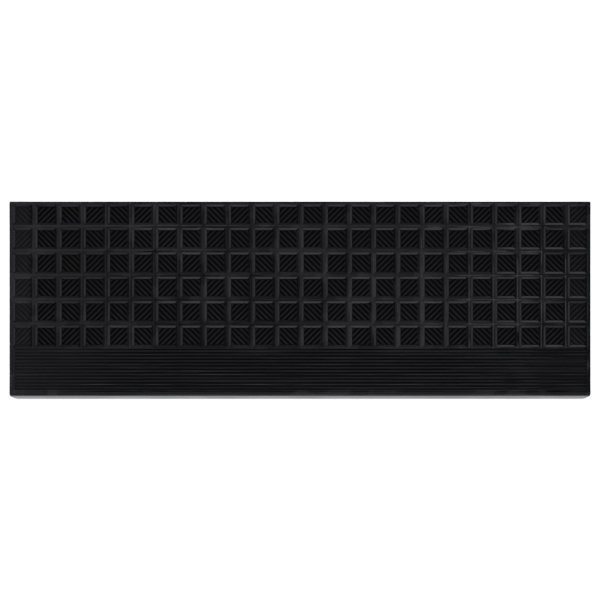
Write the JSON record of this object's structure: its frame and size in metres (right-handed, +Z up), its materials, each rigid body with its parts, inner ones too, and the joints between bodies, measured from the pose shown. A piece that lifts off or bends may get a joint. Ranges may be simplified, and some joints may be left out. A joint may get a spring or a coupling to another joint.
{
  "type": "step mat",
  "caption": "Black moulded rubber mat for an outdoor step, with a square tread lattice, diagonal anti-slip ribs, a ribbed nosing and a down-turned front lip.",
  "frame": {"origin": "centre of the overall box, on the level of the lip's toe; the sheet's underside is 25 mm above it and the walking surface 30 mm", "axes": "+X along the mat's long side, +Y towards its back edge, +Z up"},
  "size_m": [0.75, 0.256, 0.03],
  "materials": {
    "polished_rubber": "black rubber from a polished mould, semi-gloss",
    "dull_rubber": "black rubber from a textured mould, dull"
  },
  "bodies": {
    "root": {"base_sheet": "dull_rubber", "tread_row_1": "dull_rubber", "tread_row_2": "dull_rubber", "tread_row_3": "dull_rubber", "tread_row_4": "dull_rubber", "tread_row_5": "dull_rubber", "tread_row_6": "dull_rubber", "nosing_pad": "dull_rubber", "left_rim": "polished_rubber", "right_rim": "polished_rubber", "back_rim": "polished_rubber", "front_bar": "polished_rubber", "lattice_grid": "polished_rubber", "nosing_rib_01": "polished_rubber", "nosing_rib_02": "polished_rubber", "nosing_rib_03": "polished_rubber", "nosing_rib_04": "polished_rubber", "nosing_rib_05": "polished_rubber", "nosing_rib_06": "polished_rubber", "nosing_rib_07": "polished_rubber", "nosing_rib_08": "polished_rubber", "nosing_rib_09": "polished_rubber", "nosing_rib_10": "polished_rubber", "nosing_rib_11": "polished_rubber", "nosing_rib_12": "polished_rubber", "nosing_bend": "polished_rubber", "front_lip": "polished_rubber"}
  },
  "joints": []
}
